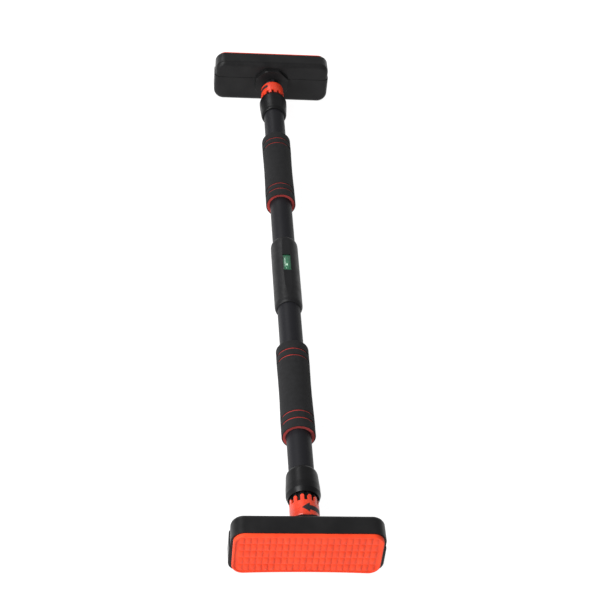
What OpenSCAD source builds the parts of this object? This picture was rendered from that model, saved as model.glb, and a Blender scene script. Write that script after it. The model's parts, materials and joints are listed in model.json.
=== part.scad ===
// Telescoping doorway pull-up bar: a steel tube with two foam grips and a
// spirit level, and at each end a screw-out foot with a rubber wall pad.
// The bar runs along Y. A foot is drawn in its own end frame, where +Y points
// out of the bar towards the wall, and the front end is that frame turned round.

/* [Tube] */
// Outside diameter of the steel tube
tube_d = 32; // [30:0.5:40]
// Wall of the steel tube
tube_wall = 1.5; // [1:0.1:2]
// Distance from the bar's middle to each end of the tube
tube_reach = 398; // [380:1:500]
// Length of the inner tube that joins the two halves
joiner_len = 120; // [80:1:150]
// Wall of the inner joining tube
joiner_wall = 2; // [1.5:0.1:3]

/* [Centre sleeve] */
// Length of the plastic sleeve over the joint
sleeve_len = 137; // [120:1:180]
// Wall of the sleeve
sleeve_wall = 3.4; // [3:0.1:5]
// How far the sleeve sits from the bar's middle, towards the rear
sleeve_shift = -7; // [-8:0.5:8]
// Length of each rounded shoulder of the sleeve
sleeve_shoulder = 8; // [5:0.5:14]
// Width of the shallow channel along the sleeve's top
channel_w = 12.5; // [12:0.1:14]
// Depth of the channel at the spirit level
channel_depth = 1; // [0.5:0.1:1.2]
// Length of the spirit level
vial_len = 33; // [24:1:36]
// Width of the spirit level
vial_w = 11.3; // [9:0.1:11.8]
// Place of the spirit level, from the bar's middle towards the rear
vial_at = 5.3; // [0:0.1:8]

/* [Grips] */
// Length of each foam grip
grip_len = 155; // [110:1:190]
// Distance from the bar's middle to the start of each grip
grip_start = 155; // [100:1:165]
// How far both grips sit towards the rear
grip_shift = -1.5; // [-5:0.5:5]
// Thickness of the inner foam
grip_core_t = 4.9; // [4:0.1:7]
// Thickness of the outer foam at the grip's ends
grip_skin_t = 1.1; // [0.9:0.1:2]
// How much slimmer the grip is at its middle, on the radius
grip_waist = 0.6; // [0:0.1:0.7]
// Distance from the grip's end to the middle of the outer groove
groove_at = 15; // [8:0.5:17]
// Distance between the two grooves at one end
groove_pitch = 12.3; // [8:0.1:16]
// Width of a groove
groove_w = 2.5; // [1.5:0.1:4]

/* [Lock] */
// Number of lock teeth
teeth = 12; // [8:1:14]
// Free length of the teeth on the gear sleeve
tooth_len = 9.5; // [7:0.5:12]
// Width of a tooth of the gear sleeve
tooth_w = 4.8; // [3.6:0.1:5]
// Height of the lock teeth above the neck that the gear sleeve turns on
tooth_h = 2.4; // [1.5:0.1:2.6]
// Length of the gear sleeve without its teeth
gear_len = 23.5; // [20:0.5:30]
// Length of the lock collar
collar_len = 42; // [36:0.5:54]
// Wall of the lock collar round its splines
collar_wall = 3; // [2.6:0.1:5]
// Distance that the lock collar slides
lock_travel = 10; // [8:0.5:11]
// How far the rear collar has been slid out, still clear of its teeth
rear_lock_out = 3.5; // [0:0.5:3.5]

/* [Screw] */
// Wall of the nut between the screw and the tube
nut_wall = 2.5; // [2.2:0.1:3]
// Length of the screw's nut
nut_len = 20; // [14:1:30]
// Advance of the screw in one turn
lead = 5; // [4:0.5:6]
// Height of the thread
thread_h = 1.6; // [1.2:0.1:2]
// Full travel of each foot
travel = 75; // [40:5:90]
// How far the front foot is screwed out
front_out = 5; // [0:2.5:75]
// How far the rear foot is screwed out
rear_out = 12.5; // [0:2.5:75]

/* [Foot] */
// Width of the foot's casing
foot_w = 184; // [150:1:230]
// Height of the foot's casing
foot_h = 72; // [60:1:90]
// Depth of the foot's casing
casing_depth = 29; // [22:0.5:36]
// Wall of the casing
casing_wall = 2.5; // [2:0.1:3]
// Radius of the casing's corners
corner_r = 16; // [12:0.5:20]
// Radius of the casing's back edges
edge_r = 7.5; // [4:0.5:8]
// Height of the seam between the two casings above the foot's middle
seam_z = 8; // [0:0.5:10]
// How far the lower casing stands proud of the upper one at each end
casing_step = 1.2; // [0.5:0.1:2]
// Rise of the arch under the foot
foot_arch = 2; // [0:0.1:3]
// Thickness of the steel plate
plate_t = 3; // [2.5:0.1:4]
// Thickness of the rubber pad in front of the casing
pad_t = 5; // [4:0.1:8]
// Rim of the casing that the pad leaves free at the sides
pad_margin = 3; // [2:0.1:5]
// Rim of the casing that the pad leaves free above and below
pad_rim = 1.5; // [1:0.1:3]
// Width across the flats of the eight-sided hub
hub_flats = 52; // [44:1:58]
// Height of the hub on the casing's back
hub_h = 7; // [5:0.5:10]

/* [Hidden] */
$fn = 96;

FRONT = -1;
REAR = 1;
eps = 0.01;       // how far a cut runs past the face that it opens
run_fit = 0.05;   // radial clearance of a shaft that turns in its bore
gap = 0.3;        // clearance between pieces that pass without touching
big = 400;        // larger than any foot

// Radii outwards from the axis
tube_r = tube_d / 2;
bore_r = tube_r - tube_wall;
screw_r = bore_r - nut_wall;
neck_r = tube_r - 0.4;
tooth_r = neck_r + run_fit + tooth_h;
barrel_r = tooth_r + 0.3;
spline_bore_r = barrel_r + gap;
collar_r = spline_bore_r + collar_wall;
grip_core_r = tube_r + grip_core_t;
grip_r = grip_core_r + grip_skin_t;
sleeve_r = tube_r + sleeve_wall;

// Stations along one end, from the bar's middle
crown_len = 20.5;                           // splined part of the bush, outside the tube
spigot_len = 18;                            // part of the bush inside the tube
neck_len = 19.5;                            // neck that the gear sleeve turns on
crown_end = tube_reach + crown_len;
neck_end = crown_end + neck_len;
tooth_tip = crown_end + 0.5;
tooth_root = tooth_tip + tooth_len;
gear_end = tooth_root + gear_len;
collar_end = tooth_tip - 3.5;
collar_start = collar_end - collar_len;
step_in_collar = tube_reach - lock_travel - gap;  // where the collar's splines start
nut_out = tube_reach - spigot_len - 2;
nut_in = nut_out - nut_len;
foot_back = gear_end + 1 + hub_h;           // back of the casing, foot fully screwed in
pad_face = foot_back + casing_depth + pad_t;
mid_y = (front_out - rear_out) / 2;         // keeps the origin half way between the pads

// Retaining clip of the gear sleeve
clip_at = neck_end - 2.5;
clip_t = 1.4;
clip_in_r = neck_r - 0.8;
clip_out_r = neck_r + 0.5;

// Key of the gear sleeve in the slot of the screw rod
key_w = 3.4;
key_depth = 1.5;

// Stop on the screw rod's inner end
stop_t = 4;
stop_seat_r = screw_r - 3;
rod_inner = nut_in - stop_t - travel;       // inner end, foot fully screwed in
bolt_r = 4;
bolt_len = 28;

// Foot
plate_back = casing_depth - 2 - plate_t;    // from the casing's back
hub_neck_r = screw_r + 4;
pad_w = foot_w - 2 * pad_margin;
pad_h = foot_h - 2 * pad_rim;
pad_corner_r = corner_r - 2;
post_r = 4;
casing_screw_r = 1.6;
post_x = foot_w / 2 - 22;
post_z = foot_h / 2 - 16;
hub_chamfer = 1.5;
seam_groove = 0.7;                          // shadow line where the casings meet

// Spirit level
vial_floor = tube_r + 0.15;
vial_top = sleeve_r - channel_depth;
vial_wall = 0.7;
liquid_w = vial_w - 3;
liquid_len = vial_len - 4;
bubble_r = 1.9;
bubble_at = -5;                             // off level: from the vial's middle

BLACK = [0.15, 0.15, 0.16];
TUBE_GREY = [0.19, 0.19, 0.21];
ORANGE = [0.98, 0.33, 0.22];
FOAM_RED = [0.68, 0.18, 0.17];
STEEL = [0.6, 0.61, 0.63];
BRASS = [0.75, 0.62, 0.32];
GREEN = [0.2, 0.5, 0.33];

function out_of(end) = end == FRONT ? front_out : rear_out;
function lock_out_of(end) = end == FRONT ? 0 : rear_lock_out;
function grip_from(end) = grip_start + end * grip_shift;

// ---------------------------------------------------------------- frames

// Puts children drawn with +Y outwards at one end of the bar
module at_end(end) {
    translate([0, mid_y, 0])
        rotate([0, 0, end == FRONT ? 180 : 0])
            children();
}

// The same, for what travels with the foot
module with_foot(end) {
    at_end(end)
        translate([0, out_of(end), 0])
            children();
}

// The same, with the origin at the back of the foot's casing
module at_foot(end) {
    with_foot(end)
        translate([0, foot_back, 0])
            children();
}

// Turns a profile round the bar's axis: x is the radius and y the station
module lathe() {
    rotate([-90, 0, 0])
        rotate_extrude()
            children();
}

// A plain ring on the bar's axis
module ring(inner, outer, from, to) {
    lathe()
        translate([inner, from])
            square([outer - inner, to - from]);
}

module rod_y(r, from, to) {
    translate([0, from, 0])
        rotate([-90, 0, 0])
            cylinder(r = r, h = to - from);
}

// A countersunk screw along -Y: its head's top is at y = 0
module countersunk(shank, head, head_h, length) {
    rotate([90, 0, 0]) {
        cylinder(r1 = head, r2 = shank, h = head_h);
        cylinder(r = shank, h = length);
    }
}

// ---------------------------------------------------------------- tube

module half_tube(end) {
    color(TUBE_GREY)
        difference() {
            at_end(end)
                ring(bore_r, tube_r, 0, tube_reach);
            sleeve_screw_shapes();
        }
}

module tube_joiner() {
    color(STEEL)
        difference() {
            translate([0, mid_y, 0])
                ring(bore_r - joiner_wall, bore_r, -joiner_len / 2, joiner_len / 2);
            sleeve_screw_shapes();
        }
}

// ---------------------------------------------------------------- centre sleeve

sleeve_screw_r = 2.5;
sleeve_screw_head = 4.5;
sleeve_screw_pitch = 70;

module sleeve_screw_shapes() {
    for (side = [-1, 1])
        translate([0, mid_y + side * sleeve_screw_pitch / 2, -sleeve_r + 0.4])
            rotate([-90, 0, 0])
                countersunk(sleeve_screw_r, sleeve_screw_head, 2,
                    sleeve_wall + tube_wall + joiner_wall + 0.6);
}

module sleeve_screws() {
    color(STEEL)
        difference() {
            sleeve_screw_shapes();
            for (side = [-1, 1])
                translate([0, mid_y + side * sleeve_screw_pitch / 2, -sleeve_r])
                    cylinder(r = 1.5, h = 2, $fn = 6);
        }
}

// Drop of a round shoulder at a distance from where it starts, for its length and full drop
function shoulder_drop(along, length, drop) = drop * (1 - sqrt(1 - pow(along / length, 2)));

// Outline of the sleeve's wall, with a round shoulder at each end
module sleeve_profile() {
    steps = 8;
    drop = sleeve_wall - 0.5;
    straight = sleeve_len / 2 - sleeve_shoulder;
    shoulder = [for (i = [0:steps])
        let (along = sleeve_shoulder * sin(90 * i / steps))
            [sleeve_r - shoulder_drop(along, sleeve_shoulder, drop), straight + along]];
    polygon(concat([[tube_r, sleeve_len / 2], [tube_r, -sleeve_len / 2]],
        [for (i = [steps:-1:0])
            [shoulder[i][0], -shoulder[i][1]]],
        shoulder));
}

// Shallow channel that dips towards the spirit level from both ends
module sleeve_channel() {
    half = sleeve_len / 2 - sleeve_shoulder;
    dish_r = (pow(half, 2) + pow(channel_depth * 0.7, 2)) / (2 * channel_depth * 0.7);
    translate([-channel_w / 2, vial_at, sleeve_r - channel_depth + dish_r])
        rotate([0, 90, 0])
            cylinder(r = dish_r, h = channel_w, $fn = 360);
}

module vial_window() {
    translate([-vial_w / 2, vial_at - vial_len / 2, tube_r - 2])
        cube([vial_w, vial_len, sleeve_wall + 4]);
}

module centre_sleeve() {
    color(BLACK)
        difference() {
            translate([0, mid_y, 0])
                difference() {
                    translate([0, sleeve_shift, 0])
                        lathe()
                            sleeve_profile();
                    sleeve_channel();
                    vial_window();
                }
            sleeve_screw_shapes();
        }
}

module level_vial() {
    color("palegreen")
        translate([-vial_w / 2, mid_y + vial_at - vial_len / 2, vial_floor])
            difference() {
                cube([vial_w, vial_len, vial_top - vial_floor]);
                translate([(vial_w - liquid_w) / 2, (vial_len - liquid_len) / 2, vial_wall / 2])
                    cube([liquid_w, liquid_len, vial_top - vial_floor - vial_wall]);
            }
}

module level_liquid() {
    depth = vial_top - vial_floor - vial_wall;
    color(GREEN)
        translate([0, mid_y + vial_at, vial_floor + vial_wall / 2])
            difference() {
                translate([-liquid_w / 2, -liquid_len / 2, 0])
                    cube([liquid_w, liquid_len, depth]);
                translate([0, bubble_at, depth / 2])
                    cylinder(r = bubble_r, h = depth);
            }
}

// ---------------------------------------------------------------- grips

module grip_core(end) {
    lip = 1.2;
    color(FOAM_RED)
        at_end(end)
            lathe()
                translate([0, grip_from(end)])
                    polygon([[tube_r, lip], [tube_r + lip, 0], [grip_core_r, 0],
                        [grip_core_r, grip_len], [tube_r + lip, grip_len], [tube_r, grip_len - lip]]);
}

// Radius of the grip at a distance along it: full over the grooved ends, slimmer between
function grip_edge() = groove_at + groove_pitch + groove_w;
function skin_r(at) =
    at < grip_edge() || at > grip_len - grip_edge()
        ? grip_r
        : grip_r - grip_waist * sin(180 * (at - grip_edge()) / (grip_len - 2 * grip_edge()));

// One band of the outer foam, from one station to another along the grip
module skin_band(from, to) {
    steps = 12;
    polygon(concat([[grip_core_r, from]],
        [for (i = [0:steps])
            let (at = from + (to - from) * i / steps)
                [skin_r(at), at]],
        [[grip_core_r, to]]));
}

// Band at the grip's end, with a round outer edge
module end_band(length) {
    round = grip_skin_t * 0.8;
    translate([grip_core_r, round])
        square([grip_skin_t, length - round]);
    intersection() {
        translate([grip_core_r, 0])
            square([grip_skin_t, length]);
        translate([grip_r - round, round])
            circle(r = round, $fn = 32);
    }
    translate([grip_core_r, 0])
        square([grip_skin_t - round, length]);
}

module grip_skin(end) {
    inner = groove_at + groove_pitch;
    color(BLACK)
        at_end(end)
            lathe()
                translate([0, grip_from(end)]) {
                    skin_band(inner + groove_w / 2, grip_len - inner - groove_w / 2);
                    for (flip = [0, 1])
                        translate([0, flip * grip_len])
                            mirror([0, flip]) {
                                end_band(groove_at - groove_w / 2);
                                skin_band(groove_at + groove_w / 2, inner - groove_w / 2);
                            }
                }
}

// ---------------------------------------------------------------- lock

// Blocks round the axis, one for each tooth, that run along Y
module tooth_blocks(width, from, to, inner, outer) {
    for (i = [0:teeth - 1])
        rotate([0, i * 360 / teeth, 0])
            translate([-width / 2, from, inner])
                cube([width, to - from, outer - inner]);
}

// Turns the toothed pieces so that the teeth sit as they do at rest
module in_phase(shift = 0) {
    rotate([0, 12 + shift * 360 / teeth, 0])
        children();
}

module screw_nut(end) {
    color(BRASS)
        at_end(end)
            ring(screw_r + run_fit, bore_r, nut_in, nut_out);
}

// Bush in the tube's end: a spigot, a splined crown and the neck of the gear sleeve
module spline_bush(end) {
    color(BLACK)
        at_end(end)
            difference() {
                union() {
                    ring(screw_r + gap, bore_r, tube_reach - spigot_len, tube_reach);
                    ring(screw_r + gap, tube_r + 0.2, tube_reach, crown_end);
                    ring(screw_r + gap, neck_r, crown_end - eps, neck_end);
                    in_phase()
                        intersection() {
                            ring(tube_r, tooth_r - gap, tube_reach, crown_end);
                            tooth_blocks(tooth_w - 0.2, tube_reach, crown_end, tube_r - 2, collar_r);
                        }
                }
                ring(clip_in_r, collar_r, clip_at, clip_at + clip_t);
            }
}

module gear_clip(end) {
    color(STEEL)
        at_end(end)
            difference() {
                ring(clip_in_r, clip_out_r, clip_at, clip_at + clip_t);
                translate([-2, clip_at - 1, -clip_out_r - 1])
                    cube([4, clip_t + 2, clip_out_r]);
            }
}

// Radius of the gear sleeve's barrel at a distance from the teeth's roots
function barrel_at(along) = barrel_r - 0.9 * pow(abs(along / gear_len - 0.1), 2);

// Barrel-shaped body of the gear sleeve with a round outer end, as a profile
module barrel_profile() {
    steps = 8;
    inner = screw_r + gap;
    round_r = min(4, barrel_at(gear_len) - inner - 1);
    polygon(concat([[inner, tooth_root]],
        [for (i = [0:steps])
            let (along = (gear_len - round_r) * i / steps)
                [barrel_at(along), tooth_root + along]],
        [for (i = [1:steps])
            let (angle = 90 * i / steps)
                [barrel_at(gear_len - round_r) - round_r * (1 - cos(angle)),
                    gear_end - round_r * (1 - sin(angle))]],
        [[inner, gear_end]]));
}

// Round-tipped tooth that reaches back from the gear sleeve towards the collar
module gear_tooth() {
    intersection() {
        ring(neck_r - 0.5, tooth_r, tooth_tip, tooth_root + 1);
        translate([0, 0, neck_r - 2])
            linear_extrude(tooth_h + 4) {
                translate([-tooth_w / 2, tooth_tip + tooth_w / 2])
                    square([tooth_w, tooth_len]);
                translate([0, tooth_tip + tooth_w / 2])
                    circle(r = tooth_w / 2, $fn = 48);
            }
    }
}

module gear_sleeve(end) {
    key_r = screw_r - key_depth + gap;
    color(ORANGE)
        at_end(end) {
            difference() {
                union() {
                    lathe()
                        barrel_profile();
                    in_phase()
                        for (i = [0:teeth - 1])
                            rotate([0, i * 360 / teeth, 0])
                                gear_tooth();
                }
                rod_y(neck_r + run_fit, tooth_tip - 1, neck_end + gap);
                rod_y(clip_out_r + gap, clip_at - gap, clip_at + clip_t + gap);
            }
            intersection() {
                ring(key_r, screw_r + 2, neck_end + gap, gear_end - 1);
                translate([-key_w / 2, neck_end, 0])
                    cube([key_w, gear_end - neck_end, screw_r + 2]);
            }
        }
}

// Outline of the collar: round shoulder, flared body, chamfered nose
module collar_outline() {
    inner = tube_r + gap;
    steps = 8;
    shoulder_len = 6.5;
    shoulder_r = collar_r - 1.5;
    drop = shoulder_r - inner - 0.6;
    flare_len = 19;
    nose_len = 6.5;
    translate([0, collar_start])
        polygon(concat([[inner, 0]],
            [for (i = [0:steps])
                let (along = shoulder_len * cos(90 * i / steps))
                    [shoulder_r - shoulder_drop(along, shoulder_len, drop), shoulder_len - along]],
            [[collar_r - 0.2, shoulder_len + flare_len], [collar_r, collar_len - nose_len],
                [spline_bore_r + 0.9, collar_len], [inner, collar_len]]));
}

module lock_collar(end) {
    color(BLACK)
        at_end(end)
            translate([0, lock_out_of(end), 0])
                difference() {
                    lathe()
                        collar_outline();
                    difference() {
                        rod_y(spline_bore_r, step_in_collar, collar_end + 1);
                        in_phase(0.5)
                            difference() {
                                tooth_blocks(tooth_w * 0.68, step_in_collar - 1, collar_end - 0.5,
                                    0, collar_r);
                                rod_y(tube_r + 0.5, step_in_collar - 2, collar_end + 2);
                            }
                    }
                }
}

// ---------------------------------------------------------------- screw

// Threaded profile of the rod: crests and roots repeated along it
function thread_points(from, to) =
    let (turns = floor((to - from) / lead), root = screw_r - thread_h)
        [for (i = [0:turns - 1])
            let (at = from + i * lead)
                each [[screw_r, at], [screw_r, at + lead * 0.35],
                    [root, at + lead * 0.52], [root, at + lead * 0.83]]];

module screw_rod(end) {
    rod_end = foot_back + plate_back;
    thread_from = rod_inner + stop_t + 1;
    thread_to = foot_back - hub_h - 1;
    color(STEEL)
        with_foot(end)
            difference() {
                lathe()
                    polygon(concat([[0, rod_inner], [stop_seat_r, rod_inner],
                            [stop_seat_r, rod_inner + stop_t], [screw_r, rod_inner + stop_t]],
                        thread_points(thread_from, thread_to),
                        [[screw_r, thread_to], [screw_r, rod_end], [0, rod_end]]));
                translate([-key_w / 2 - gap, rod_inner - 1, screw_r - key_depth - gap])
                    cube([key_w + 2 * gap, thread_to - rod_inner, key_depth + 2]);
                rod_y(bolt_r, rod_end + plate_t - bolt_len, rod_end + 1);
            }
}

module rod_stop(end) {
    color(STEEL)
        with_foot(end)
            ring(stop_seat_r, bore_r - gap, rod_inner, rod_inner + stop_t);
}

// ---------------------------------------------------------------- foot

module octagon(flats) {
    rotate([0, 0, 22.5])
        circle(d = flats / cos(22.5), $fn = 8);
}

module hub(end) {
    color(BLACK)
        at_foot(end)
            difference() {
                union() {
                    intersection() {
                        rotate([90, 0, 0])
                            linear_extrude(hub_h)
                                octagon(hub_flats);
                        rotate([90, 0, 0])
                            cylinder(r1 = hub_flats / 2 / cos(22.5) + hub_h - hub_chamfer,
                                r2 = hub_flats / 2 / cos(22.5) - hub_chamfer, h = hub_h);
                    }
                    rod_y(hub_neck_r, -eps, plate_back);
                }
                rod_y(screw_r, -hub_h - 1, plate_back + 1);
            }
}

// Section of the casing: a bar whose two back corners are round
module casing_section(width, edge) {
    translate([-width / 2, edge])
        square([width, casing_depth - edge]);
    translate([-width / 2 + edge, 0])
        square([width - 2 * edge, casing_depth]);
    for (side = [-1, 1])
        translate([side * (width / 2 - edge), edge])
            circle(r = edge, $fn = 64);
}

// Solid block with round corners and round back edges, the inset inside the casing's outside
module casing_block(width, height, inset = 0) {
    corner = corner_r - inset;
    edge = edge_r - inset;
    rotate([90, 0, 90])
        linear_extrude(width - 2 * corner, center = true)
            rotate([0, 0, 90])
                mirror([0, 1])
                    casing_section(height, edge);
    linear_extrude(height - 2 * corner, center = true)
        casing_section(width, edge);
    for (x = [-1, 1], z = [-1, 1])
        translate([x * (width / 2 - corner), 0, z * (height / 2 - corner)])
            rotate([-90, 0, 0])
                rotate_extrude()
                    intersection() {
                        square([corner, casing_depth]);
                        union() {
                            translate([0, edge])
                                square([corner, casing_depth]);
                            square([corner - edge, casing_depth]);
                            translate([corner - edge, edge])
                                circle(r = edge, $fn = 64);
                        }
                    }
}

// Rectangle with round corners
module round_rect(width, height, r) {
    square([width - 2 * r, height], center = true);
    square([width, height - 2 * r], center = true);
    for (x = [-1, 1], z = [-1, 1])
        translate([x * (width / 2 - r), z * (height / 2 - r)])
            circle(r = r);
}

// Round-cornered plate from one station to another
module plate_y(width, height, r, from, to) {
    translate([0, to, 0])
        rotate([90, 0, 0])
            linear_extrude(to - from)
                round_rect(width, height, r);
}

// The low arch that is cut along the foot's underside
module underside_arch(bottom) {
    half = foot_w / 2 - corner_r;
    arch_r = (pow(half, 2) + pow(foot_arch, 2)) / (2 * max(foot_arch, eps));
    if (foot_arch > 0)
        translate([0, 0, bottom + foot_arch - arch_r])
            rod_y(arch_r, -1, casing_depth + pad_t + 1, $fn = 720);
}

module post_places(upper) {
    for (side = [-1, 1])
        translate([side * post_x, 0, (upper ? 1 : -1) * post_z])
            children();
}

// Keeps the half of a shape above or below the seam
module half_space(upper) {
    translate([-big / 2, -big / 2, upper ? seam_z : seam_z - big])
        cube([big, big, big]);
}

module casing_half(end, upper) {
    width = upper ? foot_w : foot_w + 2 * casing_step;
    color(BLACK)
        at_foot(end)
            intersection() {
                half_space(upper);
                difference() {
                    union() {
                        difference() {
                            casing_block(width, foot_h);
                            translate([0, casing_wall, 0])
                                casing_block(foot_w - 2 * casing_wall, foot_h - 2 * casing_wall,
                                    casing_wall);
                        }
                        post_places(upper)
                            rod_y(post_r, casing_wall - eps, plate_back);
                    }
                    post_places(upper)
                        rod_y(casing_screw_r, casing_wall + 1, plate_back + 1);
                    rod_y(hub_neck_r, -1, casing_wall + 1);
                    if (!upper)
                        underside_arch(-foot_h / 2);
                    if (upper)
                        seam_line();
                }
            }
}

// Narrow step along the seam, round the back and the ends of the casing
module seam_line() {
    difference() {
        translate([-foot_w / 2 - 1, -1, seam_z - seam_groove])
            cube([foot_w + 2, casing_depth, 2 * seam_groove]);
        translate([0, seam_groove, 0])
            casing_block(foot_w - 2 * seam_groove, foot_h, seam_groove);
    }
}

module foot_plate(end) {
    clear = casing_wall + gap;
    color(STEEL)
        at_foot(end)
            difference() {
                plate_y(foot_w - 2 * clear, foot_h - 2 * clear - 2 * foot_arch,
                    corner_r - casing_wall, plate_back, plate_back + plate_t);
                casing_screw_shapes();
                rod_bolt_shape();
            }
}

module casing_screw_shapes() {
    for (upper = [false, true])
        post_places(upper)
            translate([0, plate_back + plate_t, 0])
                countersunk(casing_screw_r, casing_screw_r * 2, 1.6, plate_t + 9);
}

module casing_screws(end) {
    color(STEEL)
        at_foot(end)
            casing_screw_shapes();
}

module rod_bolt_shape() {
    translate([0, plate_back + plate_t, 0])
        countersunk(bolt_r, bolt_r * 2 - 0.5, plate_t - 0.4, bolt_len);
}

module rod_bolt(end) {
    color(STEEL)
        at_foot(end)
            difference() {
                rod_bolt_shape();
                translate([0, plate_back + plate_t + 1, 0])
                    rotate([90, 0, 0])
                        cylinder(r = 2.9, h = 4, $fn = 6);
            }
}

module wall_pad(end) {
    lip_back = plate_back + plate_t;
    color(ORANGE)
        at_foot(end)
            difference() {
                union() {
                    plate_y(pad_w, pad_h, pad_corner_r, casing_depth, casing_depth + pad_t);
                    plate_y(foot_w - 2 * casing_wall - 2 * gap,
                        foot_h - 2 * casing_wall - 2 * gap - 2 * foot_arch,
                        corner_r - casing_wall, lip_back, casing_depth + eps);
                }
                underside_arch(-pad_h / 2);
            }
}

// ---------------------------------------------------------------- pieces

half_tube(FRONT);  // front_tube
half_tube(REAR);  // rear_tube
tube_joiner();
centre_sleeve();
sleeve_screws();
level_vial();
level_liquid();
grip_core(FRONT);  // front_grip_core
grip_skin(FRONT);  // front_grip_skin
grip_core(REAR);  // rear_grip_core
grip_skin(REAR);  // rear_grip_skin
screw_nut(FRONT);  // front_screw_nut
screw_nut(REAR);  // rear_screw_nut
spline_bush(FRONT);  // front_spline_bush
spline_bush(REAR);  // rear_spline_bush
gear_clip(FRONT);  // front_gear_clip
gear_clip(REAR);  // rear_gear_clip
gear_sleeve(FRONT);  // front_gear_sleeve
gear_sleeve(REAR);  // rear_gear_sleeve
lock_collar(FRONT);  // front_lock_collar
lock_collar(REAR);  // rear_lock_collar
screw_rod(FRONT);  // front_screw_rod
screw_rod(REAR);  // rear_screw_rod
rod_stop(FRONT);  // front_rod_stop
rod_stop(REAR);  // rear_rod_stop
hub(FRONT);  // front_hub
hub(REAR);  // rear_hub
casing_half(FRONT, true);  // front_upper_casing
casing_half(REAR, true);  // rear_upper_casing
casing_half(FRONT, false);  // front_lower_casing
casing_half(REAR, false);  // rear_lower_casing
foot_plate(FRONT);  // front_foot_plate
foot_plate(REAR);  // rear_foot_plate
casing_screws(FRONT);  // front_casing_screws
casing_screws(REAR);  // rear_casing_screws
rod_bolt(FRONT);  // front_rod_bolt
rod_bolt(REAR);  // rear_rod_bolt
wall_pad(FRONT);  // front_wall_pad
wall_pad(REAR);  // rear_wall_pad
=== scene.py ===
"""Looks of the doorway pull-up bar.

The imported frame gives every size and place. This script adds the foam grips, threaded rods,
patterned wall pads, spirit level and printed arrows, and the materials, light and camera.
Lengths are in metres. "Station" is the distance along the bar from its middle, outwards.
"""

import json
import math
import random

import bmesh
import bpy
from mathutils import Matrix, Vector, noise


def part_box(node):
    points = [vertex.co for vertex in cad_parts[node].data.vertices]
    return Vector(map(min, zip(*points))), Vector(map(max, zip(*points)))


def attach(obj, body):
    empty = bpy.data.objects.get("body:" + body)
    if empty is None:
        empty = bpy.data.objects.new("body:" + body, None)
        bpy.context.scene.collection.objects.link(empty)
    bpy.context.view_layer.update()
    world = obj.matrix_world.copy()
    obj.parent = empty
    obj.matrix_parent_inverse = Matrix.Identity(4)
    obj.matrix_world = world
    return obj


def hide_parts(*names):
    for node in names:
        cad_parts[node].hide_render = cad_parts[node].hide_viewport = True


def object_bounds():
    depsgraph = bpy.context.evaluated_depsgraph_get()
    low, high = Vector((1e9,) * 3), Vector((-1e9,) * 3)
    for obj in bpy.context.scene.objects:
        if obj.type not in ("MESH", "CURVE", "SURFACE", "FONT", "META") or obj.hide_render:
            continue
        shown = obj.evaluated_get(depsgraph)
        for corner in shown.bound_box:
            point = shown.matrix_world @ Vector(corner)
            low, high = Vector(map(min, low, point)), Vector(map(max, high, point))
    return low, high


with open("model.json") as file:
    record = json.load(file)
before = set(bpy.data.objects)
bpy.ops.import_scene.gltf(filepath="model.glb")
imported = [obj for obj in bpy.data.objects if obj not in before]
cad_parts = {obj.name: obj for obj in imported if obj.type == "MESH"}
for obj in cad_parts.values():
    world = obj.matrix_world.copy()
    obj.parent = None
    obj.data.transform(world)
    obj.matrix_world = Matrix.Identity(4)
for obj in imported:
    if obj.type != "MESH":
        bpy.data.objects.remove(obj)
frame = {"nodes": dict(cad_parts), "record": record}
cad_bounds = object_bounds()

MM = 0.001
ENDS = {"front": -1, "rear": 1}     # the way each end points along Y

# ---------------------------------------------------------------- sizes from the frame


def low(node):
    """Lowest corner of a node's box."""
    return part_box(node)[0]


def high(node):
    """Highest corner of a node's box."""
    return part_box(node)[1]


def outer_radius(node):
    """Radius of a node that is round about the bar's axis."""
    return high(node).x


def stations(node, end):
    """Where a node starts and ends along its end of the bar, outwards."""
    ys = [(y - MID_Y) * ENDS[end] for y in (low(node).y, high(node).y)]
    return min(ys), max(ys)


MID_Y = (low("front_tube").y + high("rear_tube").y) / 2
LEVEL_Y = (low("level_vial").y + high("level_vial").y) / 2
TUBE_R = outer_radius("front_tube")
GRIP_CORE_R = outer_radius("front_grip_core")
GRIP_R = outer_radius("front_grip_skin")

# ---------------------------------------------------------------- sizes of the detail

ROUND = 96                          # sides of a round piece

GROOVE_AT = 15 * MM                 # outer groove of a grip, from the grip's end
GROOVE_PITCH = 12.3 * MM
GROOVE_W = 2.5 * MM
GROOVE_ROUND = 0.35 * MM            # edges of the outer foam along a groove
GRIP_END_ROUND = 0.9 * MM
GRIP_WAIST = 0.6 * MM
FOAM_WAVE = 0.10 * MM
FOAM_WAVES = 90                     # a metre

SCREW_R = 12 * MM
LEAD = 5 * MM                       # advance of the thread in one turn
THREAD_ROOT_R = SCREW_R - 1.6 * MM
ROD_SIDES = 64
ROD_STOP_LEN = 4 * MM               # thinner inner end, which holds the stop ring
ROD_STOP_R = SCREW_R - 3 * MM
ROD_PLAIN = 1 * MM                  # plain length at each end of the thread
KEYWAY_W = 4 * MM
KEYWAY_FLOOR = SCREW_R - 2 * MM

BLOCKS = (22, 5)                    # columns and rows of the wall pad's blocks
BLOCK_PITCH = (7.5 * MM, 12.4 * MM)
BLOCK_SIZE = (6.1 * MM, 11.2 * MM)
BLOCK_H = 1.1 * MM
BLOCK_EDGE = ((0, 0.0), (0.6 * MM, 0.62), (1.3 * MM, 1.0))  # distance in, share of the height
BLOCK_WEAR = (0.6, 1.0)             # least and greatest height of a block, of its full height
BLOCK_SEED = 11
PAD_MARGIN = 3 * MM                 # from the casing's end to the pad's end
PAD_CORNER_R = 14 * MM
PAD_RIM = 2.4 * MM
PAD_ROUND = 1.4 * MM
PAD_THICK = 5 * MM
FOOT_ARCH = 2 * MM

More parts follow.
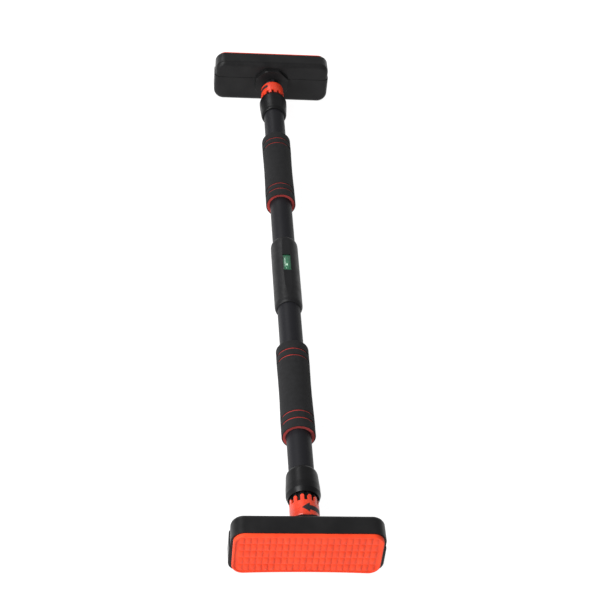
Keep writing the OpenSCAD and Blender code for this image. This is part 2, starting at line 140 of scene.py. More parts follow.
LEVEL_GAP = 0.1 * MM                # round the level's body in the vial's space
LEVEL_BODY_DROP = 0.9 * MM          # from the vial's top to the top of the body
LEVEL_TUBE_DROP = 1.1 * MM          # and to the tube's middle
LEVEL_TUBE_SHARE = (0.66, 0.84)     # of the body's width and length
LEVEL_TUBE_RISE = 0.95 * MM
BUBBLE_AT = -5 * MM                 # off level: from the level's middle
BUBBLE_LEN = 6 * MM
MARK_AT = 4.2 * MM                  # each of the level's marks from its middle
MARK_HALF_W = 0.2 * MM
MARK_PROUD = 0.06 * MM

ARROW_ANGLES = {"front": (-16, 15, 72), "rear": (-116, -85, -28)}  # tip, head's base, tail's end
ARROW_BACK = 12 * MM                # arrow's middle, from the gear sleeve's outer end
ARROW_HEAD_W = 14.3 * MM
ARROW_TAIL_W = 7 * MM
ARROW_PROUD = 0.06 * MM
BARREL_LEN = 23.5 * MM              # gear sleeve without its teeth
BARREL_DROP = 0.9 * MM

# ---------------------------------------------------------------- mesh helpers


def placed(points, end):
    """Points of one end's own frame (x, station, z) in the frame of the whole bar."""
    way = ENDS[end]
    return [Vector((way * x, MID_Y + way * s, z)) for x, s, z in points]


def add_piece(name, points, faces, body, material, replaced=(), crease=35):
    """A mesh that rides on a body, smooth but for the edges sharper than the crease angle."""
    mesh = bpy.data.meshes.new(name)
    mesh.from_pydata([tuple(p) for p in points], [], faces)
    edit = bmesh.new()
    edit.from_mesh(mesh)
    bmesh.ops.recalc_face_normals(edit, faces=edit.faces)
    edit.to_mesh(mesh)
    edit.free()
    mesh.shade_smooth()
    mesh.set_sharp_from_angle(angle=math.radians(crease))
    mesh.materials.append(material)
    piece = bpy.data.objects.new(name, mesh)
    bpy.context.scene.collection.objects.link(piece)
    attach(piece, body)
    if replaced:
        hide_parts(*replaced)
    return piece


def grid_faces(rows, columns, close_rows=False, close_columns=False, start=0):
    """Quads of a grid of points stored row by row, closed on itself either way if asked."""
    faces = []
    for r in range(rows if close_rows else rows - 1):
        for c in range(columns if close_columns else columns - 1):
            up, on = (r + 1) % rows, (c + 1) % columns
            faces.append(tuple(start + i for i in
                               (r * columns + c, r * columns + on, up * columns + on, up * columns + c)))
    return faces


def lathe(profile, points, faces, ripple=0.0):
    """Adds a ring whose section is a closed loop of (radius, station), with a soft waviness."""
    start = len(points)
    for radius, station in profile:
        for i in range(ROUND):
            angle = 2 * math.pi * i / ROUND
            at = Vector((math.sin(angle) * radius, station, math.cos(angle) * radius))
            swell = 1 + ripple / radius * noise.noise(at * FOAM_WAVES)
            points.append((at.x * swell, at.y, at.z * swell))
    faces.extend(grid_faces(len(profile), ROUND, True, True, start))


def arc(centre, radius, start, end, steps):
    """Points of an arc in a section, with its angles in degrees from the radius axis."""
    angles = [math.radians(start + (end - start) * i / steps) for i in range(steps + 1)]
    return [(centre[0] + radius * math.cos(a), centre[1] + radius * math.sin(a)) for a in angles]


def round_corners(half_w, half_h, radius, steps):
    """The four corner arcs of an oblong with round corners, in order round its middle."""
    signs = ((1, 1), (-1, 1), (-1, -1), (1, -1))
    return [arc((x * (half_w - radius), y * (half_h - radius)), radius, 90 * i, 90 * i + 90, steps)
            for i, (x, y) in enumerate(signs)]


# ---------------------------------------------------------------- material helpers


class Look:
    """A Principled material that is built up from procedural layers."""

    def __init__(self, name, **constants):
        self.material = bpy.data.materials.new(name)
        self.material.use_nodes = True
        self.tree = self.material.node_tree
        self.shader = self.tree.nodes["Principled BSDF"]
        for socket, value in constants.items():
            self.shader.inputs[socket.replace("_", " ")].default_value = value
        self.place = self.add("ShaderNodeTexCoord").outputs["Object"]
        self.normal = None

    def add(self, kind, **settings):
        """A new node of the material."""
        node = self.tree.nodes.new(kind)
        for key, value in settings.items():
            setattr(node, key, value)
        return node

    def link(self, source, target):
        self.tree.links.new(source, target)

    def stretched(self, stretch):
        """The object's own coordinates, stretched on each axis."""
        scaled = self.add("ShaderNodeVectorMath", operation="MULTIPLY")
        scaled.inputs[1].default_value = stretch
        self.link(self.place, scaled.inputs[0])
        return scaled.outputs[0]

    def grain(self, size, detail=3.0, roughness=0.5, stretch=(1, 1, 1)):
        """Cloudy noise from 0 to 1, whose features are about size metres across."""
        node = self.add("ShaderNodeTexNoise")
        node.inputs["Scale"].default_value = 1 / size
        node.inputs["Detail"].default_value = detail
        node.inputs["Roughness"].default_value = roughness
        self.link(self.stretched(stretch), node.inputs["Vector"])
        return node.outputs["Fac"]

    def cells(self, size):
        """Distance to the nearest cell's middle, for pores about size metres across."""
        node = self.add("ShaderNodeTexVoronoi")
        node.inputs["Scale"].default_value = 1 / size
        self.link(self.place, node.inputs["Vector"])
        return node.outputs["Distance"]

    def ranged(self, value, source, target):
        """A value carried from one range to another, clamped."""
        node = self.add("ShaderNodeMapRange")
        self.link(value, node.inputs["Value"])
        for socket, number in zip(("From Min", "From Max", "To Min", "To Max"), (*source, *target)):
            node.inputs[socket].default_value = number
        return node.outputs["Result"]

    def colours(self, value, *stops):
        """A colour ramp over a value, from stops of (position, colour)."""
        ramp = self.add("ShaderNodeValToRGB")
        elements = ramp.color_ramp.elements
        while len(elements) < len(stops):
            elements.new(0.5)
        for element, (position, colour) in zip(elements, stops):
            element.position = position
            element.color = (*colour, 1)
        self.link(value, ramp.inputs["Fac"])
        return ramp.outputs["Color"]

    def blended(self, share, source, colour):
        """The source's colour, and a second, plain colour in its share."""
        mix = self.add("ShaderNodeMix", data_type="RGBA")
        self.link(share, mix.inputs["Factor"])
        self.link(source, mix.inputs["A"])
        mix.inputs["B"].default_value = (*colour, 1)
        return mix.outputs["Result"]

    def colour(self, source):
        self.link(source, self.shader.inputs["Base Color"])

    def roughness(self, value, source, target):
        self.link(self.ranged(value, source, target), self.shader.inputs["Roughness"])

    def relief(self, height, depth, strength=1.0):
        """Adds a layer of bump, depth metres from its lowest to its highest point."""
        bump = self.add("ShaderNodeBump")
        bump.inputs["Distance"].default_value = depth
        bump.inputs["Strength"].default_value = strength
        self.link(height, bump.inputs["Height"])
        if self.normal:
            self.link(self.normal, bump.inputs["Normal"])
        self.normal = bump.outputs["Normal"]
        self.link(self.normal, self.shader.inputs["Normal"])

    def worn_edges(self, radius):
        """Rounds the sharp edges in the light, and gives the share of wear along them."""
        bevel = self.add("ShaderNodeBevel", samples=6)
        bevel.inputs["Radius"].default_value = radius
        flat = self.add("ShaderNodeNewGeometry").outputs["Normal"]
        turn = self.add("ShaderNodeVectorMath", operation="DOT_PRODUCT")
        self.link(bevel.outputs["Normal"], turn.inputs[0])
        self.link(flat, turn.inputs[1])
        self.normal = bevel.outputs["Normal"]
        patchy = self.ranged(self.grain(6 * MM), (0.35, 0.65), (0.0, 1.0))
        edge = self.ranged(turn.outputs["Value"], (0.97, 0.75), (0.0, 1.0))
        share = self.add("ShaderNodeMath", operation="MULTIPLY")
        self.link(edge, share.inputs[0])
        self.link(patchy, share.inputs[1])
        return share.outputs["Value"]


# ---------------------------------------------------------------- materials


def powder_coat():
    """Charcoal powder coat: fine speckle, faint lengthwise scuffs and orange peel."""
    look = Look("tube_powder_coat", Specular_IOR_Level=0.14)
    speckle = look.grain(0.7 * MM, detail=4)
    clouds = look.grain(45 * MM, stretch=(1, 0.35, 1))
    base = look.colours(speckle, (0.3, (0.007, 0.007, 0.0088)), (0.7, (0.012, 0.012, 0.0145)))
    scuffs = look.ranged(look.grain(2.2 * MM, stretch=(1, 0.06, 1), detail=6), (0.66, 0.78), (0, 0.35))
    look.colour(look.blended(scuffs, base, (0.026, 0.026, 0.03)))
    look.roughness(clouds, (0.3, 0.7), (0.42, 0.56))
    look.relief(look.grain(0.55 * MM, detail=2), 0.05 * MM, 0.5)
    return look.material


def textured_plastic(name, dark, light, roughness, grain_size, wear, **constants):
    """Moulded black plastic with a spark-eroded grain and slightly polished edges."""
    look = Look(name, **constants)
    worn = look.worn_edges(0.45 * MM)
    clouds = look.grain(30 * MM, detail=4)
    base = look.colours(clouds, (0.3, dark), (0.7, light))
    look.colour(look.blended(worn, base, wear))
    look.roughness(look.grain(9 * MM, detail=5), (0.3, 0.7), roughness)
    look.relief(look.grain(grain_size, detail=2), 0.035 * MM, 0.45)
    look.relief(look.grain(14 * MM), 0.12 * MM, 0.25)
    return look.material


def foam(name, dark, light, dust, **constants):
    """Closed-cell foam: fine pores, soft mottling and a little dust."""
    look = Look(name, **constants)
    mottle = look.grain(7 * MM, detail=6, roughness=0.6)
    base = look.colours(mottle, (0.32, dark), (0.68, light))
    specks = look.ranged(look.grain(0.9 * MM, detail=2), (0.64, 0.74), (0, 0.6))
    look.colour(look.blended(specks, base, dust))
    look.roughness(mottle, (0.3, 0.7), (0.78, 0.93))
    look.relief(look.cells(0.75 * MM), 0.10 * MM, 0.5)
    look.relief(look.grain(3.5 * MM, detail=4), 0.22 * MM, 0.45)
    return look.material


def orange_plastic():
    """Satin orange-red plastic of the gear sleeves, paler along its edges."""
    look = Look("gear_orange_plastic", Specular_IOR_Level=0.5, Subsurface_Weight=0.08,
                Subsurface_Scale=2 * MM)
    worn = look.worn_edges(0.5 * MM)
    clouds = look.grain(8 * MM, detail=5)
    base = look.colours(clouds, (0.3, (0.60, 0.035, 0.010)), (0.7, (0.71, 0.048, 0.015)))
    look.colour(look.blended(worn, base, (0.85, 0.12, 0.06)))
    look.roughness(look.grain(5 * MM, detail=4), (0.3, 0.7), (0.24, 0.36))
    look.relief(look.grain(1.1 * MM, detail=3), 0.03 * MM, 0.35)
    return look.material


def pad_rubber():
    """Orange-red rubber with a dusty bloom."""
    look = Look("pad_rubber", Specular_IOR_Level=0.2, Sheen_Weight=0.05, Sheen_Roughness=0.5)
    clouds = look.grain(16 * MM, detail=5, roughness=0.6)
    base = look.colours(clouds, (0.3, (0.74, 0.046, 0.011)), (0.7, (0.86, 0.064, 0.016)))
    dust = look.ranged(look.grain(1.3 * MM, detail=4), (0.62, 0.8), (0, 0.35))
    look.colour(look.blended(dust, base, (0.85, 0.13, 0.07)))
    look.roughness(look.grain(4 * MM, detail=4), (0.3, 0.7), (0.5, 0.66))
    look.relief(look.grain(0.6 * MM, detail=3), 0.05 * MM, 0.5)
    look.relief(look.grain(6 * MM), 0.14 * MM, 0.35)
    return look.material


def brushed_metal(name, dark, light, roughness, stretch, **constants):
    """Metal with fine turning or brushing marks along the stretched axis."""
    look = Look(name, Metallic=1.0, **constants)
    worn = look.worn_edges(0.3 * MM)
    marks = look.grain(0.8 * MM, detail=6, roughness=0.65, stretch=stretch)
    base = look.colours(marks, (0.3, dark), (0.7, light))
    look.colour(look.blended(worn, base, tuple(min(1, 1.25 * c) for c in light)))
    look.roughness(marks, (0.25, 0.75), roughness)
    look.relief(marks, 0.03 * MM, 0.4)
    return look.material


def oxide_steel():
    """Black oxide steel, worn bright along the crests of the thread."""
    look = Look("screw_black_oxide", Metallic=0.75, Specular_IOR_Level=0.4)
    worn = look.worn_edges(0.35 * MM)
    clouds = look.grain(5 * MM, detail=6, roughness=0.6)
    base = look.colours(clouds, (0.3, (0.014, 0.014, 0.016)), (0.7, (0.03, 0.029, 0.031)))
    look.colour(look.blended(worn, base, (0.16, 0.16, 0.17)))
    look.roughness(clouds, (0.3, 0.7), (0.32, 0.5))
    look.relief(look.grain(0.5 * MM, detail=3), 0.03 * MM, 0.5)
    return look.material


def level_plastic(name, dark, light, roughness, **constants):
    """Tinted plastic or liquid of the spirit level, with faint swirls in it."""
    look = Look(name, **constants)
    swirls = look.grain(5 * MM, detail=3)
    look.colour(look.colours(swirls, (0.3, dark), (0.7, light)))
    look.roughness(look.grain(2 * MM), (0.3, 0.7), roughness)
    look.relief(look.grain(3 * MM), 0.03 * MM, 0.3)
    return look.material


def arrow_print():
    """Dark ink of the printed arrows, a little uneven."""
    look = Look("arrow_print", Specular_IOR_Level=0.2)
    ink = look.grain(1.2 * MM, detail=5, roughness=0.65)
    look.colour(look.colours(ink, (0.35, (0.011, 0.01, 0.012)), (0.72, (0.026, 0.024, 0.027))))
    look.roughness(ink, (0.3, 0.7), (0.42, 0.58))
    look.relief(ink, 0.02 * MM, 0.5)
    return look.material


SLOT_LOOKS = {
    "tube": powder_coat(),
    "steel": brushed_metal("zinc_steel", (0.36, 0.37, 0.39), (0.58, 0.59, 0.6), (0.28, 0.45),
                           (1, 0.08, 1)),
    "fasteners": brushed_metal("zinc_screws", (0.33, 0.34, 0.36), (0.56, 0.56, 0.57), (0.25, 0.4),
                               (1, 1, 0.3)),
    "sleeve_plastic": textured_plastic("sleeve_plastic", (0.004, 0.004, 0.0045), (0.008, 0.008, 0.009),
                                       (0.4, 0.52), 0.4 * MM, (0.02, 0.02, 0.021),
                                       Specular_IOR_Level=0.22),
    "clear_plastic": level_plastic("level_body", (0.01, 0.07, 0.035), (0.02, 0.11, 0.055), (0.12, 0.2),
                                   Specular_IOR_Level=0.5, Coat_Weight=0.6, Coat_Roughness=0.05),
    "level_liquid": level_plastic("level_liquid", (0.012, 0.1, 0.045), (0.03, 0.17, 0.085), (0.05, 0.1),
                                  Specular_IOR_Level=0.6, Coat_Weight=1.0, Coat_Roughness=0.03),
    "foam_red": foam("foam_red", (0.19, 0.014, 0.013), (0.33, 0.026, 0.022), (0.42, 0.06, 0.05),
                     Specular_IOR_Level=0.2, Sheen_Weight=0.1, Sheen_Roughness=0.6),
    "foam_black": foam("foam_black", (0.009, 0.009, 0.0095), (0.015, 0.015, 0.016),
                       (0.03, 0.03, 0.032), Specular_IOR_Level=0.12, Sheen_Weight=0.02,
                       Sheen_Roughness=0.6),
    "brass": brushed_metal("nut_brass", (0.5, 0.34, 0.13), (0.72, 0.53, 0.25), (0.25, 0.4),
                           (1, 4, 1)),
    "lock_plastic": textured_plastic("lock_plastic", (0.003, 0.003, 0.0035), (0.007, 0.007, 0.0075),
                                     (0.3, 0.42), 0.5 * MM, (0.022, 0.022, 0.024),
                                     Specular_IOR_Level=0.15),
    "orange_plastic": orange_plastic(),
    "screw_steel": oxide_steel(),
    "casing_plastic": textured_plastic("casing_plastic", (0.007, 0.007, 0.0074),
                                       (0.012, 0.0118, 0.0122), (0.3, 0.44), 0.6 * MM,
                                       (0.02, 0.02, 0.021), Specular_IOR_Level=0.15),
    "pad_rubber": pad_rubber(),
}
ARROW_LOOK = arrow_print()


def dress_cad_nodes():
    """Gives each CAD node the look of its material slot."""
    for subpart in frame["record"]["subparts"]:
        node = frame["nodes"][subpart["node"]]
        if not node.material_slots:
            node.data.materials.append(None)
        for place in node.material_slots:
            place.material = SLOT_LOOKS[subpart["material_slot"]]


# ---------------------------------------------------------------- foam grips


def skin_radius(at, length):
    """Radius of the outer foam at a distance along the grip: slimmer between the grooves."""
    edge = GROOVE_AT + GROOVE_PITCH + GROOVE_W
    if not edge < at < length - edge:
        return GRIP_R
    return GRIP_R - GRIP_WAIST * math.sin(math.pi * (at - edge) / (length - 2 * edge))


def band_profile(start, end, length, first_round, last_round):
    """Section of one band of the outer foam, with soft outer edges."""
    inner = GRIP_CORE_R - 0.2 * MM
    steps = max(2, round((end - start - first_round - last_round) / (2 * MM)))
    flat = [start + first_round + (end - start - first_round - last_round) * i / steps
            for i in range(1, steps)]
    first_r, last_r = skin_radius(start, length), skin_radius(end, length)
    return ([(inner, start)]
            + arc((first_r - first_round, start + first_round), first_round, -90, 0, 5)
            + [(skin_radius(at, length), at) for at in flat]
            + arc((last_r - last_round, end - last_round), last_round, 0, 90, 5)
            + [(inner, end)])


def grip_cover(end):
    """The black outer foam, cut through by two grooves near each end of the grip."""
    start, stop = stations(f"{end}_grip_skin", end)
    length = stop - start
    half = GROOVE_W / 2
    grooves = [GROOVE_AT, GROOVE_AT + GROOVE_PITCH]
    grooves += [length - g for g in reversed(grooves)]
    edges = [0] + [e for g in grooves for e in (g - half, g + half)] + [length]
    points, faces = [], []
    for first, last in zip(edges[::2], edges[1::2]):
        profile = band_profile(first, last, length,
                               GRIP_END_ROUND if first == 0 else GROOVE_ROUND,
                               GRIP_END_ROUND if last == length else GROOVE_ROUND)
        lathe([(r, start + at) for r, at in profile], points, faces, FOAM_WAVE)
    piece = add_piece(f"{end}_grip_cover", placed(points, end), faces, "bar",
                      SLOT_LOOKS["foam_black"], [f"{end}_grip_skin"])


def grip_lining(end):
    """The red inner foam, which shows in the grooves and at the grip's ends."""
    start, stop = stations(f"{end}_grip_core", end)
    length = stop - start
    lip = 1.2 * MM
    outer = GRIP_CORE_R - 0.05 * MM
    half = ([(TUBE_R + 0.02 * MM, lip)]
            + arc((TUBE_R + lip + 0.3 * MM, lip), lip, 180, 270, 4)
            + arc((outer - 0.8 * MM, 0.8 * MM), 0.8 * MM, -90, 0, 4))
    for at in (GROOVE_AT, GROOVE_AT + GROOVE_PITCH):
        half += [(outer, at - GROOVE_W), (outer, at - GROOVE_W / 3),
                 (outer - 0.25 * MM, at), (outer, at + GROOVE_W / 3), (outer, at + GROOVE_W)]
    profile = half + [(r, length - at) for r, at in reversed(half)]
    points, faces = [], []
    lathe([(r, start + at) for r, at in profile], points, faces, FOAM_WAVE / 2)
    piece = add_piece(f"{end}_grip_lining", placed(points, end), faces, "bar",
                      SLOT_LOOKS["foam_red"], [f"{end}_grip_core"])


# ---------------------------------------------------------------- threaded rods


def rod_columns(hand):
    """Columns of the rod's mesh, round from the keyway: angle, keyway wall's side, on its floor."""
    edge = math.asin(KEYWAY_W / 2 / SCREW_R)
    columns = [(edge, 1, False)]
    columns += [(edge + (2 * math.pi - 2 * edge) * i / ROD_SIDES, 0, False) for i in range(1, ROD_SIDES)]
    columns += [(2 * math.pi - edge, -1, False), (2 * math.pi - edge, -1, True), (edge, 1, True)]
    return columns if hand > 0 else columns[::-1]


def thread_form():
    """Section of one turn of the thread: share of the lead, and radius."""
    crest_edge = SCREW_R - 0.15 * MM
    return [(0.0, SCREW_R), (0.27, SCREW_R), (0.33, crest_edge), (0.5, THREAD_ROOT_R),
            (0.55, THREAD_ROOT_R - 0.05 * MM), (0.8, THREAD_ROOT_R), (0.95, crest_edge)]


def rod_rows(wide, inner, outer, thread_to):
    """Rings of (radius, station), one pair for each column, and the number of turns in them."""
    thread_from = inner + ROD_STOP_LEN + ROD_PLAIN
    turns = math.floor((thread_to - thread_from) / LEAD) - 1

    def plain(radius, station):
        return [(radius, station)] * wide

    def climbing(radius, turn):
        return [(radius, thread_from + LEAD * (turn + c / wide)) for c in range(wide)]

    rows = [plain(ROD_STOP_R, inner), plain(ROD_STOP_R, inner + ROD_STOP_LEN),
            plain(SCREW_R, inner + ROD_STOP_LEN), plain(SCREW_R, thread_from)]
    for turn in range(turns):
        rows += [climbing(radius, turn + part) for part, radius in thread_form()]
    rows += [climbing(SCREW_R, turns), plain(SCREW_R, thread_to), plain(SCREW_R, outer)]
    return rows, turns


def rod_point(column, radius, station, thread_to):
    """A point of the rod, kept to the wall or floor of the keyway where its column is on one."""
    angle, side, on_floor = column
    if not side or radius <= ROD_STOP_R + 1e-9:
        return math.sin(angle) * radius, station, math.cos(angle) * radius
    x = side * KEYWAY_W / 2
    if on_floor and station < thread_to - 1e-9:
        return x, station, KEYWAY_FLOOR
    return x, station, math.sqrt(radius ** 2 - x ** 2)


def rod_faces(wide, rows, turns):
    """Faces of the rod. At the seam each ring of the thread meets the ring one turn further on."""
    across = len(thread_form())
    last = wide - 1
    first_thread = 4
    tail = first_thread + turns * across
    faces = grid_faces(rows, wide)
    for r in range(first_thread - 1):
        faces.append((r * wide + last, r * wide, (r + 1) * wide, (r + 1) * wide + last))
    before = first_thread - 1
    faces.append([before * wide + last, before * wide]
                 + [r * wide for r in range(first_thread, first_thread + across + 1)]
                 + [first_thread * wide + last])
    for r in range(first_thread, tail - across):
        faces.append((r * wide + last, (r + across) * wide, (r + across + 1) * wide,
                      (r + 1) * wide + last))
    faces.append([r * wide + last for r in range(tail - across, tail + 1)]
                 + [(tail + 1) * wide + last, (tail + 1) * wide, tail * wide])
    faces.append(((tail + 1) * wide + last, (tail + 1) * wide, (tail + 2) * wide,
                  (tail + 2) * wide + last))
    faces.append(list(range(wide)))
    faces.append([(tail + 2) * wide + c for c in range(wide)])
    return faces


def threaded_rod(end):
    """The screw rod with a true helical thread: left-hand in front, right-hand behind."""
    node = f"{end}_screw_rod"
    inner, outer = stations(node, end)
    thread_to = stations(f"{end}_hub", end)[0] - ROD_PLAIN
    columns = rod_columns(ENDS[end])
    wide = len(columns)
    rows, turns = rod_rows(wide, inner, outer, thread_to)
    points = [rod_point(column, radius, station, thread_to)
              for row in rows for column, (radius, station) in zip(columns, row)]
    add_piece(f"{end}_threaded_rod", placed(points, end), rod_faces(wide, len(rows), turns),
              f"{end}_foot", SLOT_LOOKS["screw_steel"], [node], crease=28)


# ---------------------------------------------------------------- wall pads


def pad_outline(width, height, inset):
    """Outline of the pad (x, z): round corners and an arched bottom, moved in by an inset."""
    r = PAD_CORNER_R - inset
    half_w, half_h = width / 2 - inset, height / 2 - inset
    corners = round_corners(half_w, half_h, r, 12)
    reach = half_w - r
    steps = 32
    top = [(reach - 2 * reach * i / steps, half_h) for i in range(1, steps)]
    bottom = []
    for i in range(1, steps):
        x = -reach + 2 * reach * i / steps
        bottom.append((x, -half_h + FOOT_ARCH * (1 - (x / reach) ** 2)))
    return corners[0] + top + corners[1] + corners[2] + bottom + corners[3]


def block_lines(count, pitch, size):
    """Grid lines across one row of blocks, with the height of the block's face at each."""
    lines = []
    for i in range(count):
        middle = (i - (count - 1) / 2) * pitch
        lines += [(middle - size / 2 + offset, height) for offset, height in BLOCK_EDGE]
        lines += [(middle + size / 2 - offset, height) for offset, height in reversed(BLOCK_EDGE)]
    return lines


def wall_pad(end):
    """The rubber pad: rows of soft blocks inside a raised rim, with an arched bottom edge."""
    node = f"{end}_wall_pad"
    face = stations(node, end)[1]
    width = high(f"{end}_upper_casing").x - low(f"{end}_upper_casing").x - 2 * PAD_MARGIN
    height = high(node).z * 2
    back = face - PAD_THICK

    def loop(inset, station):
        return [(x, station, z) for x, z in pad_outline(width, height, inset)]

    loops = [loop(0, back)]
    for i in range(6):
        angle = math.pi / 2 * i / 5
        loops.append(loop(PAD_ROUND * (1 - math.cos(angle)), face - PAD_ROUND * (1 - math.sin(angle))))
    for inset, drop in ((0, 0), (0.25 * MM, 0.25 * MM), (0.8 * MM, BLOCK_H)):
        loops.append(loop(PAD_RIM + inset, face - drop))
    around = len(loops[0])
    points = [p for one in loops for p in one]
    faces = grid_faces(len(loops), around, False, True)
    faces.append(list(range(around)))

    xs = block_lines(BLOCKS[0], BLOCK_PITCH[0], BLOCK_SIZE[0])
    zs = block_lines(BLOCKS[1], BLOCK_PITCH[1], BLOCK_SIZE[1])
    lift = FOOT_ARCH / 2
    start = len(points)
    chance = random.Random(BLOCK_SEED)
    per_block = 2 * len(BLOCK_EDGE)
    heights = [[chance.uniform(*BLOCK_WEAR) for _ in range(BLOCKS[0])] for _ in range(BLOCKS[1])]
    for row, (z, rise_z) in enumerate(zs):
        for column, (x, rise_x) in enumerate(xs):
            share = heights[row // per_block][column // per_block] * rise_x * rise_z
            points.append((x, face - BLOCK_H * (1 - share), z + lift))
    faces += grid_faces(len(zs), len(xs), start=start)
    faces += border_faces(points, (len(loops) - 1) * around, around, start, len(zs), len(xs))
    piece = add_piece(f"{end}_pad", placed(points, end), faces, f"{end}_foot",
                      SLOT_LOOKS["pad_rubber"], [node], crease=60)


def border_faces(points, outline_start, around, grid_start, rows, columns):
    """Triangles of the flat border between the pad's rim and its field of blocks."""
    rim = [outline_start + i for i in range(around)]
    field = ([grid_start + c for c in range(columns)]
             + [grid_start + r * columns + columns - 1 for r in range(1, rows)]
             + [grid_start + (rows - 1) * columns + c for c in range(columns - 2, -1, -1)]
             + [grid_start + r * columns for r in range(rows - 2, 0, -1)])
    edit = bmesh.new()
    made = {}
    for index in rim + field:
        x, _, z = points[index]
        made[edit.verts.new((x, 0, z))] = index
    corners = list(made)
    edges = []
    for loop in (corners[:around], corners[around:]):
        edges += [edit.edges.new((a, b)) for a, b in zip(loop, loop[1:] + loop[:1])]
    bmesh.ops.triangle_fill(edit, use_beauty=True, use_dissolve=False, edges=edges,
                            normal=(0, -1, 0))
    faces = [tuple(made[v] for v in face.verts) for face in edit.faces]
    edit.free()
    return faces


# ---------------------------------------------------------------- spirit level


def rounded_block(name, width, length, bottom, top, edge, material, replaced):
    """A low block with round upper edges, over the middle of the spirit level."""
    loops = []
    corner = 1.2 * MM
    for inset, z in ((0, bottom), (0, top - edge), (edge * 0.3, top - edge * 0.3), (edge, top)):
        for loop in round_corners(width / 2 - inset, length / 2 - inset, corner, 4):
            loops += [(x, LEVEL_Y + y, z) for x, y in loop]
    around = len(loops) // 4
    faces = grid_faces(4, around, False, True)
    faces += [list(range(around)), [3 * around + i for i in range(around)]]
    return add_piece(name, loops, faces, "bar", material, replaced)


def dome(name, width, length, base, rise, middle, material, replaced=()):
    """A long low dome, for the liquid in its tube and for the bubble."""
    rings, sides = 14, 24
    points = []
    for r in range(rings + 1):
        along = math.cos(math.pi * r / rings)
        swell = max(0.02, math.sqrt(max(0.0, 1 - abs(along) ** 5)))
        for s in range(sides):
            angle = 2 * math.pi * s / sides
            height = rise if math.sin(angle) > 0 else 0.3 * MM
            points.append((math.cos(angle) * width / 2 * swell, middle + along * length / 2,
                           base + math.sin(angle) * height * swell))
    faces = grid_faces(rings + 1, sides, False, True)
    faces += [list(range(sides)), [rings * sides + s for s in range(sides)]]
    return add_piece(name, points, faces, "bar", material, replaced)


def spirit_level():
    """The vial in the sleeve's window: tinted body, barrel of liquid, bubble and two marks."""
    width = high("level_vial").x * 2 - 2 * LEVEL_GAP
    length = high("level_vial").y - low("level_vial").y - 2 * LEVEL_GAP
    bottom, top = low("level_vial").z, high("level_vial").z
    rounded_block("level_body", width, length, bottom, top - LEVEL_BODY_DROP, 0.5 * MM,
                  SLOT_LOOKS["clear_plastic"], ["level_vial"])
    tube_w, tube_l = width * LEVEL_TUBE_SHARE[0], length * LEVEL_TUBE_SHARE[1]
    base = top - LEVEL_TUBE_DROP
    dome("level_tube", tube_w, tube_l, base, LEVEL_TUBE_RISE, LEVEL_Y, SLOT_LOOKS["level_liquid"],
         ["level_liquid"])
    bubble = level_plastic("level_bubble", (0.35, 0.62, 0.42), (0.6, 0.85, 0.66), (0.04, 0.1),
                           Specular_IOR_Level=0.7, Coat_Weight=1.0, Coat_Roughness=0.03)
    dome("level_bubble", tube_w * 0.5, BUBBLE_LEN, base + 0.35 * MM, 0.68 * MM, LEVEL_Y + BUBBLE_AT,
         bubble)
    for side in (-1, 1):
        level_mark(side, tube_w, base)


def level_mark(side, width, base):
    """A thin dark line over the level's tube, where the bubble should lie between the two."""
    middle = LEVEL_Y + side * MARK_AT
    points = []
    steps = 16
    for proud in (0.0, MARK_PROUD):
        for y in (middle - MARK_HALF_W, middle + MARK_HALF_W):
            for i in range(steps + 1):
                angle = math.pi * i / steps
                points.append((math.cos(angle) * (width / 2 + proud), y,
                               base + math.sin(angle) * (LEVEL_TUBE_RISE + proud)))
    row = steps + 1
    faces = []
    for a, b in ((0, 1), (1, 3), (3, 2), (2, 0)):
        faces += [(a * row + i, a * row + i + 1, b * row + i + 1, b * row + i) for i in range(steps)]
    faces += [(0, row, 3 * row, 2 * row), (steps, row + steps, 3 * row + steps, 2 * row + steps)]
    name = "rear" if side > 0 else "front"
    add_piece(f"level_mark_{name}", points, faces, "bar", SLOT_LOOKS["lock_plastic"])


# ---------------------------------------------------------------- arrows


def arrow(end):
    """Printed arrow round the gear sleeve, between angles in degrees from the top."""
    sleeve = f"{end}_gear_sleeve"
    barrel_end = stations(sleeve, end)[1]
    barrel_r = outer_radius(sleeve)
    tip, head_base, tail_end = ARROW_ANGLES[end]
    middle = barrel_end - ARROW_BACK
    buried = -0.1 * MM

    def barrel_radius(station):
        along = 1 - (barrel_end - station) / BARREL_LEN
        return barrel_r - BARREL_DROP * (along - 0.1) ** 2

    sections = []
    steps = 10
    for i in range(steps + 1):
        share = i / steps
        sections.append((tip + (head_base - tip) * share, max(ARROW_HEAD_W * share, 0.1 * MM)))
    for i in range(2 * steps + 1):
        sections.append((head_base + (tail_end - head_base) * i / (2 * steps), ARROW_TAIL_W))
    across = 8
    points = []
    for angle, width in sections:
        turn = math.radians(angle)
        ring = [(middle + width * (c / across - 0.5), ARROW_PROUD) for c in range(across + 1)]
        ring += [(station, buried) for station, _ in reversed(ring)]
        for station, proud in ring:
            radius = barrel_radius(station) + proud
            points.append((math.sin(turn) * radius, MID_Y + ENDS[end] * station,
                           math.cos(turn) * radius))
    around = 2 * (across + 1)
    faces = grid_faces(len(sections), around, False, True)
    faces += [list(range(around)), [(len(sections) - 1) * around + i for i in range(around)]]
    add_piece(f"{end}_arrow", points, faces, f"{end}_gear", ARROW_LOOK, crease=50)


# ---------------------------------------------------------------- stage, light and camera


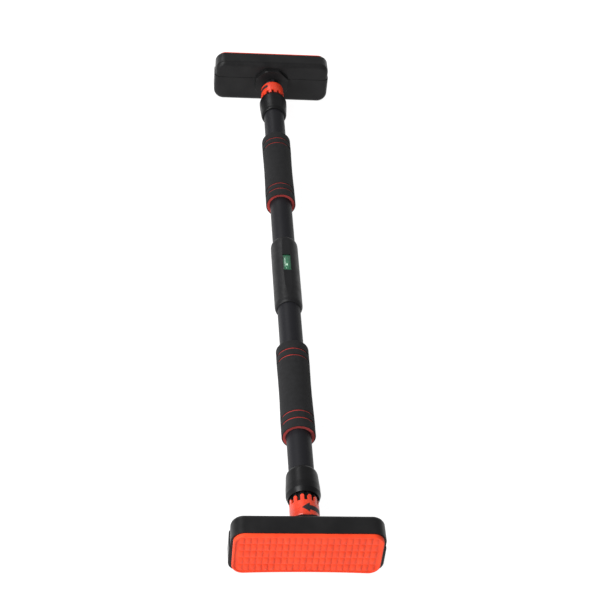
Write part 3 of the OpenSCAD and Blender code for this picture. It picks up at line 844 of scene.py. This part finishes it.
def add_floor():
    """Plain pale floor under the feet."""
    half = 20
    mesh = bpy.data.meshes.new("floor")
    z = cad_bounds[0][2]
    mesh.from_pydata([(-half, -half, z), (half, -half, z), (half, half, z), (-half, half, z)], [],
                     [(0, 1, 2, 3)])
    look = Look("floor_white", Emission_Color=(1, 1, 1, 1), Emission_Strength=0.95,
                Specular_IOR_Level=0.0)
    look.colour(look.colours(look.grain(0.4), (0.3, (0.16, 0.16, 0.16)), (0.7, (0.18, 0.18, 0.18))))
    look.roughness(look.grain(0.2), (0.3, 0.7), (0.8, 0.9))
    mesh.materials.append(look.material)
    floor = bpy.data.objects.new("floor", mesh)
    bpy.context.scene.collection.objects.link(floor)


def add_softbox(name, place, target, size, power):
    """A square or oblong soft light that faces a target."""
    light = bpy.data.lights.new(name, "AREA")
    light.shape = "RECTANGLE"
    light.size, light.size_y = size
    light.energy = power
    lamp = bpy.data.objects.new(name, light)
    lamp.location = place
    lamp.rotation_euler = (Vector(target) - Vector(place)).to_track_quat("-Z", "Y").to_euler()
    bpy.context.scene.collection.objects.link(lamp)


def add_lights():
    """Soft studio light: a dim white surround, a key above on the left, and two more softboxes."""
    world = bpy.data.worlds.new("studio")
    bpy.context.scene.world = world
    world.use_nodes = True
    world.node_tree.nodes["Background"].inputs["Color"].default_value = (1, 1, 1, 1)
    world.node_tree.nodes["Background"].inputs["Strength"].default_value = 0.4
    add_softbox("key", (-1.3, -0.3, 1.9), (0, -0.1, 0), (0.7, 0.7), 44)
    add_softbox("back", (-0.9, 1.8, 1.3), (0, 0.1, 0), (0.8, 0.8), 8)
    add_softbox("front", (-1.6, -1.6, 0.8), (0, -0.4, 0), (0.6, 0.6), 40)


def add_camera():
    """Looks along the bar from above the near foot, a little from the left."""
    camera = bpy.data.cameras.new("camera")
    camera.lens = 92.35
    camera.sensor_width = 36
    camera.clip_end = 100
    viewer = bpy.data.objects.new("camera", camera)
    place = (-0.1953, MID_Y - 1.6251, 1.4403)
    elevation, yaw, roll = (math.radians(a) for a in (42.25, 7.68, 6.45))
    viewer.matrix_world = (Matrix.Translation(place)
                           @ Matrix.Rotation(-yaw, 4, "Z")
                           @ Matrix.Rotation(math.pi / 2 - elevation, 4, "X")
                           @ Matrix.Rotation(roll, 4, "Z"))
    bpy.context.scene.collection.objects.link(viewer)
    bpy.context.scene.camera = viewer


# ---------------------------------------------------------------- the whole bar

dress_cad_nodes()
for end in ENDS:
    grip_cover(end)
    grip_lining(end)
    threaded_rod(end)
    wall_pad(end)
spirit_level()
for end in ENDS:
    arrow(end)
add_floor()
add_lights()
add_camera()
bpy.context.scene.view_settings.view_transform = "Standard"
